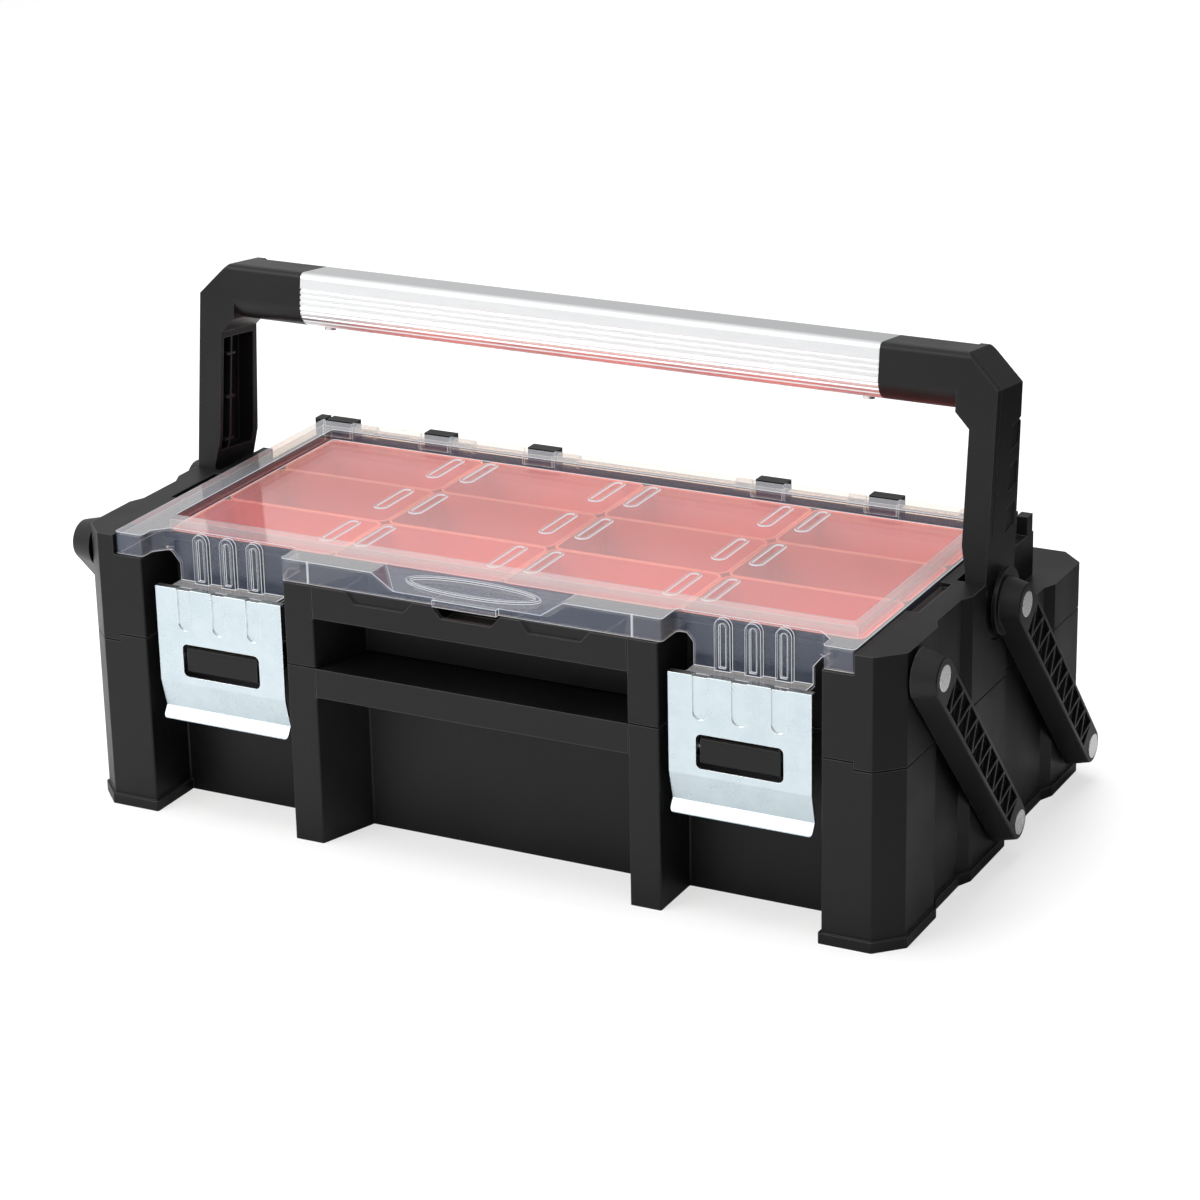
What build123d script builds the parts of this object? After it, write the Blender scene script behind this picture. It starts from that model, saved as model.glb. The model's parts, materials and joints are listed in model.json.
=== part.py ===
from build123d import *
import os
from math import atan2, cos, degrees, hypot, radians, sin

os.makedirs("parts", exist_ok=True)

# Body outline: +X is the box's right, -Y its front, Z = 0 the ground
body_width = 534.0
body_depth = 304.0
corner_chamfer = 14.5
bay_depth = 38.0
shelf_half = 103.0
shelf_root_half = 90.0
inner_column_edge = 122.5
corner_column_edge = 222.0
corner_post_end = 57.0
middle_post_start = 111.0
middle_post_end = 165.0
rear_post_start = 247.0
side_relief = 4.0
relief_slope = 9.0
wall = 3.0
edge_round = 1.2

# Heights of the two boxes
side_seam = 108.3
front_seam = 112.6
seam_gap = 0.9
floor_thickness = 3.0
foot_height = 6.5
foot_proud = 1.5
foot_rim = 12.0
sole_recess = 1.2
seam_notch_half = 240.7
seam_notch_depth = 44.0
fit_gap = 0.5
shelf_bottom = 94.4
band_bottom = 144.5
flange_height = 164.4
rim_height = 176.6
deck_height = 138.0
rear_wall_height = 166.0
rear_wall_depth = 7.0
lug_front = 3.5
lug_rear = 5.0
rim_ledge = 3.0
ledge_front = 74.0
ledge_margin = 6.0
rib_half = 1.0
lap = 1.0
seat_lap = 0.01
recess_lap = 0.4

# Organiser basin and its bins
basin_half = 229.5
basin_front = 41.5
basin_back = 236.5
basin_floor = 119.4
basin_wall = 2.5
bin_columns = 4
bin_rows = 3
bin_gap = 0.6
bin_wall = 1.4
bin_height = 48.6
bin_round = 6.0
bin_seat = 0.4
line_width = 0.6
line_depth = 0.6
groove_round = 2.0

# Lid
lid_half = 241.0
lid_front = 1.7
lid_back = 244.6
lid_top = 178.6
lid_wall = 2.2
lid_seat = 0.4
lid_round = 2.5
window_half = 224.2
window_front = 42.4
window_back = 227.7
window_sink = 7.0
bay_lid_edge = 21.0
lid_foot_inner = 221.9
lid_foot_slope = 9.0
flange_reach = 2.0
tab_inner = 134.7
tab_outer = 208.0
tab_bottom = 144.0
tab_rib_width = 10.0
tab_rib_depth = 3.0
tab_rib_pitch = 18.8
tab_rib_shift = 1.6
tab_foot_front = 9.5
grip_half = 48.0
grip_slope_half = 64.0
grip_drop = 9.6
grip_depth = 17.0
lens_half = 44.0
lens_height = 13.0
lens_rim = 1.6
slot_pitch = 24.4
slot_width = 9.0
slot_length = 40.0
slot_rim = 1.7
slot_rise = 0.7
lid_skin_step = 0.5
tab_rib_skin = 3.0
tab_rib_floor = 1.2
tab_rib_end = 4.0
tab_shoulder = 5.0
tab_flare = 5.0
finger_tab_half = 21.0
finger_tab_proud = 3.2
flange_line = 0.8
flange_line_depth = 0.6
flange_line_place = 105.5
lens_shift = 1.2
window_round = 3.0

# Lid hinge along the rear edge
hinge_back = 250.0
hinge_height = 171.5
hinge_rod_radius = 2.0
lug_places = (80.0, 156.0, 229.0)
lug_width = 20.5
lug_top = 178.0
knuckle_radius = 4.3
knuckle_width = 14.0
running_gap = 0.06
lug_notch = 8.2
web_half = 1.2
web_reach = 7.0

# Link arms
arm_inner_face = 268.7
arm_outer_face = 283.0
pivot_low_y = 151.0
pivot_low_z = 24.1
pivot_high_y = 28.2
pivot_high_z = 159.5
pivot_spacing = 126.5
arm_top_radius = 12.0
arm_low_radius = 10.4
arm_spread = 3.5
arm_edge_round = 0.9
collar_radius = 20.0
collar_depth = 2.5
barrel_radius = 10.5
barrel_end = 262.0
barrel_gap = 1.2
barrel_boss = 14.5
truss_depth = 3.0
truss_rim = 2.2
truss_bays = 18
truss_rib = 1.3
rivet_radius = 5.0
rivet_head = 7.6
rivet_head_depth = 2.0
rivet_reach = 16.0
boss_radius = 9.0
head_sink = 1.5
open_pivot_gap = 0.4
truss_start = 15.5
truss_end = 167.0

# Handle, drawn along its own slightly leaning axis through the rear link pivot
handle_lean = 7.0
handle_inner = 250.0
handle_outer = 266.0
handle_front = 24.0
handle_rear = 21.5
handle_rear_top = 15.0
handle_foot_inner = 253.5
handle_foot_low = 16.0
handle_foot_high = 34.0
bar_rear = 11.0
bar_top = 145.4
bar_height = 34.4
tube_half = 193.0
tube_wall = 2.2
tube_round = 4.0
tube_low_round = 14.0
handle_chamfer = 20.0
handle_inner_chamfer = 9.0
hub_radius = 22.4
hub_gap = 1.2
plug_length = 25.0
upper_body_gap = 1.4
pocket_end = 182.0
tube_lap = 0.1
tube_fit = 0.3
tube_grooves = 4
tube_groove_first = 1.0
tube_groove_turn = 14.5
tube_groove_size = 1.1
tube_face_grooves = 3
tube_face_pitch = 3.3
shadow_line_back = 6.0
shadow_line_width = 1.6
shadow_line_depth = 1.4
shadow_line_end = 40.0
panel_places = (38.0, 62.0, 86.0)
panel_height = 15.0
panel_rise = 4.0
panel_front = 2.0
panel_spread = 2.0
panel_depth = 0.8
channel_low = 26.0
channel_margin = 4.0
channel_wall = 3.0
channel_depth = 11.0
channel_round = 1.5
channel_rib = 1.4
channel_rib_place = -12.0
cross_rib_first = 32.0
cross_rib_pitch = 27.5
cross_rib_count = 3
cross_rib_half = 4.5
cross_rib_width = 1.4
screw_radius = 2.0
screw_head_radius = 3.6
screw_head_height = 2.0
screw_length = 12.0
screw_inset = 12.0

# Latches
latch_centre = 171.0
latch_width = 88.0
latch_face = 3.0
latch_sheet = 1.5
latch_top = 147.5
latch_flange = 5.0
latch_bottom = 61.5
latch_bend = 87.0
latch_fold = 69.0
latch_inset = 4.5
window_width = 54.0
window_height = 21.0
latch_axis_y = 12.0
latch_axis_z = 102.0
latch_pin_radius = 1.75
window_corner = 3.5
block_gap = 2.4
block_sink = 1.0
block_round = 2.2
latch_corner = 3.0
bead_pitch = 24.2
bead_width = 9.4
bead_end = 121.0
bead_sink = 0.8
ear_depth = 12.0
ear_height = 12.0
ear_sheet = 2.0
ear_gap = 0.4
pin_reach = 0.8

# Places worked out from the sizes above
half_width = body_width / 2
front = -body_depth / 2
rear = body_depth / 2
tray_low_side = side_seam + seam_gap
tray_low_front = front_seam + seam_gap
upper_body_half = handle_inner - upper_body_gap
lid_bottom = flange_height + lid_seat
window_top = lid_top - window_sink
pivot_high = (front + pivot_high_y, pivot_high_z)
pivot_low = (front + pivot_low_y, pivot_low_z)
arm_drop = (pivot_low[0] - pivot_high[0], pivot_low[1] - pivot_high[1])
arm_length = hypot(*arm_drop)
handle_pivot = (pivot_high[0] + pivot_spacing, pivot_high_z)
hub_room = hub_radius + hub_gap
handle_pocket_start = handle_pivot[0] - hub_room - front
pocket_floor = pivot_high_z - hub_room
pocket_run = front + pocket_end - handle_pivot[0]
collar_top = basin_floor + bin_seat + bin_height
rod_half = lug_places[-1] + lug_width / 2
hinge_y = front + hinge_back


def block(x_low, x_high, y_low, y_high, z_low, z_high, mode=Mode.ADD):
    """Box between two corners, added to or cut from the part being built."""
    with Locations(((x_low + x_high) / 2, (y_low + y_high) / 2, (z_low + z_high) / 2)):
        return Box(x_high - x_low, y_high - y_low, z_high - z_low, mode=mode)


def both_sides(x_low, x_high, y_low, y_high, z_low, z_high, mode=Mode.ADD):
    """The same box on the right and mirrored on the left."""
    block(x_low, x_high, y_low, y_high, z_low, z_high, mode)
    block(-x_high, -x_low, y_low, y_high, z_low, z_high, mode)


def plan_points():
    """Corner points of the body's plan, with its bays, posts and side reliefs."""
    bay = front + bay_depth
    relief = half_width - side_relief
    right = [
        (shelf_root_half, bay),
        (shelf_half, front),
        (inner_column_edge, front),
        (inner_column_edge, bay),
        (corner_column_edge, bay),
        (corner_column_edge, front),
        (half_width - corner_chamfer, front),
        (half_width, front + corner_chamfer),
        (half_width, front + corner_post_end),
        (relief, front + corner_post_end + relief_slope),
        (relief, front + middle_post_start - relief_slope),
        (half_width, front + middle_post_start),
        (half_width, front + middle_post_end),
        (relief, front + middle_post_end + relief_slope),
        (relief, front + rear_post_start - relief_slope),
        (half_width, front + rear_post_start),
        (half_width, rear - corner_chamfer),
        (half_width - corner_chamfer, rear),
    ]
    return right + [(-x, y) for x, y in reversed(right)]


def body_plan(grow=0.0):
    """Plan of the body as a sketch, grown or shrunk by a distance."""
    with BuildSketch() as plan:
        with BuildLine():
            Polyline(*plan_points(), close=True)
        make_face()
        if grow:
            offset(amount=grow, kind=Kind.INTERSECTION, mode=Mode.REPLACE)
        fillet(plan.vertices(), edge_round)
    return plan.sketch


def plan_slab(z_low, z_high, grow=0.0, mode=Mode.ADD):
    """The body's plan extruded between two heights."""
    with BuildSketch(Plane.XY.offset(z_low)) as slab:
        add(body_plan(grow))
    extrude(slab.sketch, amount=z_high - z_low, mode=mode)


def recess_slab(z_low, z_high, inset=0.0, mode=Mode.ADD):
    """The centre recess's plan extruded between two heights."""
    spread = recess_lap if not inset else -inset
    bay = front + bay_depth
    with BuildSketch(Plane.XY.offset(z_low)) as recess:
        with BuildLine():
            Polyline(
                (-shelf_half - spread, front + inset),
                (shelf_half + spread, front + inset),
                (shelf_root_half + spread, bay + spread),
                (-shelf_root_half - spread, bay + spread),
                close=True,
            )
        make_face()
    extrude(recess.sketch, amount=z_high - z_low, mode=mode)


def x_rod(y, z, x_low, x_high, radius, mode=Mode.ADD):
    """Round rod along X between two places."""
    with BuildSketch(Plane.YZ.offset(x_low)) as section:
        with Locations((y, z)):
            Circle(radius)
    extrude(section.sketch, amount=x_high - x_low, mode=mode)


def x_rods(y, z, x_low, x_high, radius, mode=Mode.ADD):
    """The same rod on the right and mirrored on the left."""
    x_rod(y, z, x_low, x_high, radius, mode)
    x_rod(y, z, -x_high, -x_low, radius, mode)


def finish(part, name):
    """Label a finished piece and write its file."""
    part.label = name
    export_step(part, f"parts/{name}.step")


# Base tub: a floor and walls that follow the plan, with the front shelf
with BuildPart() as base_tub:
    plan_slab(0, front_seam)
    recess_slab(shelf_bottom, front_seam)
    plan_slab(floor_thickness + sole_recess, front_seam + 1, -wall, Mode.SUBTRACT)
    recess_slab(shelf_bottom - 1, front_seam - wall, wall, Mode.SUBTRACT)
    for rib_x in (-shelf_half / 2, 0, shelf_half / 2):
        block(rib_x - rib_half, rib_x + rib_half, front + 1, front + bay_depth + 1, shelf_bottom + 3,
              front_seam - 1)
    block(-half_width, half_width, front + seam_notch_depth, rear + 1, side_seam, front_seam + 1, Mode.SUBTRACT)
    both_sides(seam_notch_half, half_width + 1, front - 1, rear + 1, side_seam, front_seam + 1, Mode.SUBTRACT)
    # Foot band round the corner columns, the sides and the back
    with BuildSketch(Plane.XY):
        add(body_plan(foot_proud))
        with Locations((0, front)):
            Rectangle(2 * corner_column_edge - 2 * foot_proud, 2 * body_depth - 140, mode=Mode.SUBTRACT)
    extrude(amount=foot_height)
    with BuildSketch(Plane.XY):
        add(body_plan(-foot_rim))
    extrude(amount=sole_recess, mode=Mode.SUBTRACT)
    # Bosses that carry the lower link pins
    for pin_y in (pivot_low[0], pivot_low[0] + pivot_spacing):
        x_rods(pin_y, pivot_low[1], half_width - rivet_reach, half_width - wall / 2, boss_radius)
        x_rods(pin_y, pivot_low[1], half_width - rivet_reach - 1, half_width + 1,
               rivet_radius + running_gap, Mode.SUBTRACT)
    # Latch blocks stand out from the bay walls, chamfered so that the plate can swing round them
    for side in (-1, 1):
        nose = front + latch_face + block_sink
        half_high = window_height / 2 - block_gap
        with BuildSketch(Plane.YZ.offset(side * latch_centre - window_width / 2 + block_gap)) as latch_block:
            with BuildLine():
                Polyline(
                    (nose, latch_axis_z - half_high), (front + bay_depth + wall / 2, latch_axis_z - half_high),
                    (front + bay_depth + wall / 2, latch_axis_z + half_high), (nose, latch_axis_z + half_high),
                    close=True,
                )
            make_face()
            fillet(latch_block.vertices().sort_by(Axis.X)[:2], block_round)
            with Locations((front + latch_axis_y, latch_axis_z)):
                Circle(latch_pin_radius + running_gap, mode=Mode.SUBTRACT)
        extrude(latch_block.sketch, amount=window_width - 2 * block_gap)
    # Fine upright lines at the ends of the shelf's face
    both_sides(shelf_half, shelf_half + line_width, front - 1, front + line_depth, shelf_bottom - 1,
               front_seam + 1, Mode.SUBTRACT)
finish(base_tub.part, "base_tub")

# Tray frame: skirt, side rims, front band, rear deck and the basin for the bins
groove_pitch = 57.5
groove_top_half = 23.0
groove_bottom_half = 16.5
groove_depth = 7.0
with BuildPart() as tray_frame:
    plan_slab(tray_low_side, rim_height)
    block(-half_width - 1, half_width + 1, front + pocket_end, rear + 1, deck_height, rim_height + 1, Mode.SUBTRACT)
    for side in (-1, 1):
        with BuildSketch(Plane.YZ.offset(side * upper_body_half)) as hub_pocket:
            with Locations(handle_pivot):
                Circle(hub_room)
                with Locations((-hub_room / 2, hub_room)):
                    Rectangle(hub_room, 2 * hub_room)
                with Locations((pocket_run / 2, hub_room / 2)):
                    Rectangle(pocket_run, 3 * hub_room)
        extrude(hub_pocket.sketch, amount=side * (half_width - upper_body_half + 1), mode=Mode.SUBTRACT)
    # Hollow of the skirt and the raised parts, from below
    plan_slab(tray_low_side - 1, pocket_floor - wall, -wall, Mode.SUBTRACT)
    with BuildSketch(Plane.XY.offset(pocket_floor - wall - seat_lap)) as front_hollow:
        add(body_plan(-wall))
        with Locations((0, rear)):
            Rectangle(2 * body_width, 2 * (body_depth - handle_pocket_start + wall), mode=Mode.SUBTRACT)
    extrude(front_hollow.sketch, amount=flange_height - pocket_floor, mode=Mode.SUBTRACT)
    block(-upper_body_half + wall, upper_body_half - wall, front + bay_depth + wall, front + pocket_end + 1,
          pocket_floor - wall - seat_lap, flange_height - wall, Mode.SUBTRACT)
    with BuildSketch(Plane.XY.offset(pocket_floor - wall - seat_lap)) as rear_hollow:
        add(body_plan(-wall))
        with Locations((0, front)):
            Rectangle(2 * body_width, 2 * (pocket_end + wall), mode=Mode.SUBTRACT)
    extrude(rear_hollow.sketch, amount=deck_height - pocket_floor, mode=Mode.SUBTRACT)
    both_sides(lid_half + fit_gap + wall, half_width - wall - side_relief, front + corner_chamfer + wall,
               front + handle_pocket_start - wall, pocket_floor, rim_height - rim_ledge - wall, Mode.SUBTRACT)
    # Rear wall behind the lid, hollow from below
    block(-upper_body_half, upper_body_half, front + pocket_end - 1, front + hinge_back + rear_wall_depth,
          deck_height - wall, rear_wall_height)
    block(-upper_body_half + wall, upper_body_half - wall, front + pocket_end - 2,
          front + hinge_back + rear_wall_depth - wall, deck_height - wall - 1, flange_height - wall, Mode.SUBTRACT)
    # Basin walls and floor
    block(-basin_half - basin_wall, basin_half + basin_wall, front + bay_depth + 0.5,
          front + basin_back + basin_wall, basin_floor - basin_wall, flange_height)
    block(-basin_half, basin_half, front + basin_front, front + basin_back, basin_floor, rim_height + 1,
          Mode.SUBTRACT)
    # Front band with its open pocket, ribs, grooves and finger notch
    recess_slab(band_bottom, flange_height)
    recess_slab(band_bottom + wall, flange_height + 1, wall, Mode.SUBTRACT)
    for rib_x in (-1.5 * groove_pitch, -groove_pitch / 2, groove_pitch / 2, 1.5 * groove_pitch):
        block(rib_x - rib_half, rib_x + rib_half, front + 1, front + bay_depth + 1, band_bottom + 1,
              flange_height - 2)
    for place, cut_depth in ((-groove_pitch, 1.3), (0, wall + 0.2), (groove_pitch, 1.3)):
        with BuildSketch(Plane.XZ.offset(-front)) as band_groove:
            with BuildLine():
                Polyline(
                    (place - groove_top_half, flange_height + 0.5),
                    (place - groove_bottom_half, flange_height - groove_depth),
                    (place + groove_bottom_half, flange_height - groove_depth),
                    (place + groove_top_half, flange_height + 0.5),
                    close=True,
                )
            make_face()
            fillet(band_groove.vertices().sort_by(Axis.Y)[:2], groove_round)
        extrude(band_groove.sketch, amount=-cut_depth, mode=Mode.SUBTRACT)
    both_sides(shelf_half, shelf_half + line_width, front - 1, front + line_depth, band_bottom - 1,
               flange_height + 1, Mode.SUBTRACT)
    # Room for the lid, the lower front seam and the side ledges
    block(-lid_half - fit_gap, lid_half + fit_gap, front - 1, hinge_y - lug_front, flange_height, rim_height + 1,
          Mode.SUBTRACT)
    block(-seam_notch_half - fit_gap, seam_notch_half + fit_gap, front - 1, front + seam_notch_depth + fit_gap,
          tray_low_side - 1, tray_low_front, Mode.SUBTRACT)
    both_sides(lid_half, upper_body_half, front + ledge_front, front + handle_pocket_start - ledge_margin,
               rim_height - rim_ledge,
               rim_height + 1, Mode.SUBTRACT)
    # Collar that carries the basin's rim up to the top of the bins
    block(-basin_half - basin_wall, basin_half + basin_wall, front + basin_front - basin_wall,
          front + basin_back + basin_wall, flange_height - lap, collar_top)
    block(-basin_half, basin_half, front + basin_front, front + basin_back, flange_height - 2 * lap,
          collar_top + lap, Mode.SUBTRACT)
    # Lid hinge lugs, and an end wall outside the rod on each side
    for lug_x in [side * place for side in (-1, 1) for place in lug_places]:
        block(lug_x - lug_width / 2, lug_x + lug_width / 2, hinge_y - lug_front, hinge_y + lug_rear,
              rear_wall_height - 1, lug_top)
    both_sides(lid_half + fit_gap, upper_body_half, hinge_y - lug_front, hinge_y + lug_rear, rear_wall_height - 1,
               lug_top)
    x_rod(hinge_y, hinge_height, -rod_half - fit_gap, rod_half + fit_gap, hinge_rod_radius + running_gap,
          Mode.SUBTRACT)
    # Front bosses and rear spigots for the upper link pins
    x_rods(pivot_high[0], pivot_high[1], half_width - rivet_reach, half_width - wall / 2, barrel_boss)
    x_rods(pivot_high[0], pivot_high[1], barrel_end - fit_gap, half_width + 1, barrel_radius + barrel_gap,
           Mode.SUBTRACT)
    x_rods(handle_pivot[0], handle_pivot[1], upper_body_half - wall - lap, handle_outer + 0.5, boss_radius)
    x_rod(pivot_high[0], pivot_high[1], half_width - rivet_reach - 1, half_width + 1,
          rivet_radius + running_gap, Mode.SUBTRACT)
    x_rod(pivot_high[0], pivot_high[1], -half_width - 1, -half_width + rivet_reach + 1,
          rivet_radius + open_pivot_gap, Mode.SUBTRACT)
    x_rods(handle_pivot[0], handle_pivot[1], upper_body_half - wall - 2 * lap, half_width + 1,
           rivet_radius + open_pivot_gap, Mode.SUBTRACT)
finish(tray_frame.part, "tray_frame")

# Bins: one open box for each place in the grid
bin_width = (2 * basin_half - (bin_columns + 1) * bin_gap) / bin_columns
bin_depth = (basin_back - basin_front - (bin_rows + 1) * bin_gap) / bin_rows
for row in range(bin_rows):
    for column in range(bin_columns):
        bin_x = -basin_half + bin_gap + bin_width / 2 + column * (bin_width + bin_gap)
        bin_y = front + basin_front + bin_gap + bin_depth / 2 + row * (bin_depth + bin_gap)
        with BuildPart() as parts_bin:
            with BuildSketch(Plane.XY.offset(basin_floor + bin_seat)):
                with Locations((bin_x, bin_y)):
                    RectangleRounded(bin_width, bin_depth, bin_round)
            extrude(amount=bin_height)
            fillet(parts_bin.faces().sort_by(Axis.Z)[0].edges(), bin_round - 1)
            offset(amount=-bin_wall, openings=parts_bin.faces().sort_by(Axis.Z)[-1])
        finish(parts_bin.part, f"bin_row{row + 1}_column{column + 1}")


# Lid: a framed shell with a sunken window, bay tabs and a sloped grip at the front
lid_outline = [
    (inner_column_edge + flange_reach, front + lid_front),
    (inner_column_edge + flange_reach, front + bay_lid_edge),
    (lid_foot_inner - lid_foot_slope, front + bay_lid_edge),
    (lid_foot_inner, front + bay_lid_edge - lid_foot_slope),
    (lid_foot_inner, front + lid_front),
    (lid_half, front + lid_front),
    (lid_half, front + lid_back),
]
grip_angle = atan2(grip_drop, grip_depth)
grip_plane = Plane(
    origin=(0, front + lid_front, lid_top - grip_drop),
    x_dir=(1, 0, 0),
    z_dir=(0, -sin(grip_angle), cos(grip_angle)),
)


def lid_plan(shrink=0.0):
    """Plan of the lid as a sketch, shrunk by a distance."""
    with BuildSketch() as plan:
        with BuildLine():
            Polyline(*lid_outline, *[(-x, y) for x, y in reversed(lid_outline)], close=True)
        make_face()
        fillet(plan.vertices(), lid_round)
        if shrink:
            offset(amount=-shrink, kind=Kind.INTERSECTION, mode=Mode.REPLACE)
    return plan.sketch


def lid_slab(z_low, z_high, shrink=0.0, mode=Mode.ADD):
    """The lid's plan extruded between two heights."""
    with BuildSketch(Plane.XY.offset(z_low)) as slab:
        add(lid_plan(shrink))
    extrude(slab.sketch, amount=z_high - z_low, mode=mode)


def grip_wedge(grow, z_high, y_front):
    """The sloped cut of the grip, grown by a distance and capped at a height."""
    low = lid_top - grip_drop - grow
    with BuildPart(mode=Mode.PRIVATE) as wedge:
        with BuildSketch(Plane.XZ.offset(-y_front)) as face:
            with BuildLine():
                Polyline(
                    (-grip_half - grow, low), (grip_half + grow, low),
                    (grip_slope_half + grow, z_high), (-grip_slope_half - grow, z_high), close=True,
                )
            make_face()
        extrude(face.sketch, amount=-2 * grip_depth)
        with BuildSketch(Plane.YZ.offset(-lid_half)) as side_face:
            toe = front + lid_front
            with BuildLine():
                Polyline(
                    (toe - grip_depth, low - grip_drop), (toe + 2 * grip_depth, low + 2 * grip_drop),
                    (toe - grip_depth, low + 2 * grip_drop), close=True,
                )
            make_face()
        extrude(side_face.sketch, amount=2 * lid_half, mode=Mode.INTERSECT)
    return wedge.part


# Embossed loops stand in pairs over each joint between bins
slot_rows = [
    front + basin_front + (row + 0.5) * (basin_back - basin_front) / bin_rows for row in range(bin_rows)
]
slot_columns = [-basin_half + column * 2 * basin_half / bin_columns for column in range(1, bin_columns)]
slot_places = [
    (place + side * slot_pitch / 2, row_y) for row_y in slot_rows for place in slot_columns for side in (-1, 1)
]
grip_shell = grip_wedge(lid_wall, lid_top - lid_skin_step, front + lid_front + lid_skin_step)
grip_cut = grip_wedge(0, lid_top + lap, front + lid_front - lap)
lug_middles = [side * place for side in (-1, 1) for place in lug_places]
curtain_y = front + bay_lid_edge
with BuildPart() as lid:
    lid_slab(lid_bottom, lid_top)
    lid_slab(lid_bottom - lap, lid_top - lid_wall, lid_wall, Mode.SUBTRACT)
    block(-window_half - lid_wall, window_half + lid_wall, front + window_front - lid_wall,
          front + window_back + lid_wall, window_top - lid_wall, lid_top - lid_skin_step)
    # Sloped grip with a lens shaped rim, and the finger tab under it
    add(grip_shell)
    add(grip_cut, mode=Mode.SUBTRACT)
    with BuildSketch(grip_plane) as lens:
        with Locations((0, grip_depth / 2 + lens_shift)):
            Ellipse(lens_half, lens_height / 2)
            Ellipse(lens_half - 2 * lens_rim, lens_height / 2 - lens_rim, mode=Mode.SUBTRACT)
    extrude(lens.sketch, amount=lens_rim)
    block(-finger_tab_half, finger_tab_half, front + lid_front - finger_tab_proud, front + lid_front + lap,
          lid_bottom, lid_top - grip_drop)
    # Window recess and its loops
    with BuildSketch(Plane.XY.offset(window_top)) as window:
        with Locations((0, front + (window_front + window_back) / 2)):
            RectangleRounded(2 * window_half, window_back - window_front, window_round)
    extrude(window.sketch, amount=window_sink + lap, mode=Mode.SUBTRACT)
    with BuildSketch(Plane.XY.offset(window_top)) as loops:
        with Locations(*slot_places):
            SlotOverall(slot_length, slot_width, rotation=90)
            SlotOverall(slot_length - 2 * slot_rim, slot_width - 2 * slot_rim, rotation=90, mode=Mode.SUBTRACT)
    extrude(loops.sketch, amount=slot_rise)
    # Bay tabs: a curtain, its foot behind the latch and three hollow ribs
    for side in (-1, 1):
        with BuildSketch(Plane.XZ.offset(-curtain_y)) as curtain:
            with BuildLine():
                Polyline(
                    (side * (tab_inner - tab_flare), lid_bottom + lap),
                    (side * tab_inner, lid_bottom - tab_shoulder),
                    (side * tab_inner, tab_bottom),
                    (side * tab_outer, tab_bottom),
                    (side * tab_outer, lid_bottom - 1.6 * tab_shoulder),
                    (side * (tab_outer + tab_flare), lid_bottom - 0.4 * tab_shoulder),
                    (side * (tab_outer + 2 * tab_flare), lid_bottom + lap),
                    close=True,
                )
            make_face()
        extrude(curtain.sketch, amount=-lid_wall)
        low_x, high_x = sorted((side * tab_inner, side * tab_outer))
        block(low_x, high_x, front + tab_foot_front, curtain_y + lap, tab_bottom, tab_bottom + lid_wall)
        middle_x = side * (latch_centre + tab_rib_shift)
        for rib_x in (middle_x - tab_rib_pitch, middle_x, middle_x + tab_rib_pitch):
            with BuildSketch(Plane.XZ.offset(tab_rib_depth - curtain_y)) as tab_rib:
                arch_z = lid_top - lap - tab_rib_width / 2
                with Locations((rib_x, arch_z)):
                    Circle(tab_rib_width / 2)
                with Locations((rib_x, (arch_z + tab_bottom + lap) / 2)):
                    Rectangle(tab_rib_width, arch_z - tab_bottom - lap)
            extrude(tab_rib.sketch, amount=-tab_rib_depth - lap)
            with BuildSketch(Plane.XZ.offset(tab_rib_depth + lap - curtain_y)) as tab_hollow:
                with Locations((rib_x, arch_z)):
                    Circle(tab_rib_width / 2 - tab_rib_skin)
                with Locations((rib_x, (arch_z + tab_bottom + tab_rib_end) / 2)):
                    Rectangle(tab_rib_width - 2 * tab_rib_skin, arch_z - tab_bottom - tab_rib_end)
            extrude(tab_hollow.sketch, amount=tab_rib_floor - tab_rib_depth - lap, mode=Mode.SUBTRACT)
    # Hinge: room for each lug, a knuckle beside it with its web, and the bore of the rod
    for lug_x in lug_middles:
        half_room = lug_width / 2 + fit_gap
        block(lug_x - half_room, lug_x + half_room, hinge_y - lug_notch, hinge_y, lid_bottom - lap,
              lid_top + lap, Mode.SUBTRACT)
        block(max(lug_x - half_room, -lid_half), min(lug_x + half_room, lid_half),
              hinge_y - lug_notch - lid_wall, hinge_y - lug_notch, collar_top + fit_gap, lid_top - lid_skin_step)
        inward = -1 if lug_x > 0 else 1
        knuckle_x = lug_x + inward * (half_room + knuckle_width / 2)
        x_rod(hinge_y, hinge_height, knuckle_x - knuckle_width / 2, knuckle_x + knuckle_width / 2,
              knuckle_radius)
        block(knuckle_x - knuckle_width / 2, knuckle_x + knuckle_width / 2, hinge_y - web_reach, hinge_y,
              hinge_height - web_half, hinge_height + web_half)
    x_rod(hinge_y, hinge_height, -lid_half, lid_half, hinge_rod_radius + running_gap, Mode.SUBTRACT)
    both_sides(flange_line_place, flange_line_place + flange_line, front + lid_front - lap,
               front + lid_front + flange_line_depth, lid_bottom - lap, lid_top + lap, Mode.SUBTRACT)
finish(lid.part, "lid")

# Steel rod through the lugs and the knuckles
with BuildPart() as lid_hinge_rod:
    x_rod(hinge_y, hinge_height, -rod_half, rod_half, hinge_rod_radius)
finish(lid_hinge_rod.part, "lid_hinge_rod")

# Link arms: tapered bars with a barrel or a collar at the top and a zigzag truss in a sunk panel outside
arm_bore = rivet_radius + running_gap


def arm_outline(plane, grow=0.0):
    """Stadium round the arm's two pivots, grown by a distance."""
    with BuildSketch(plane) as outline:
        Circle(arm_top_radius + grow)
        with Locations((arm_length, 0)):
            Circle(arm_low_radius + grow)
        make_hull()
    return outline.sketch


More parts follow.
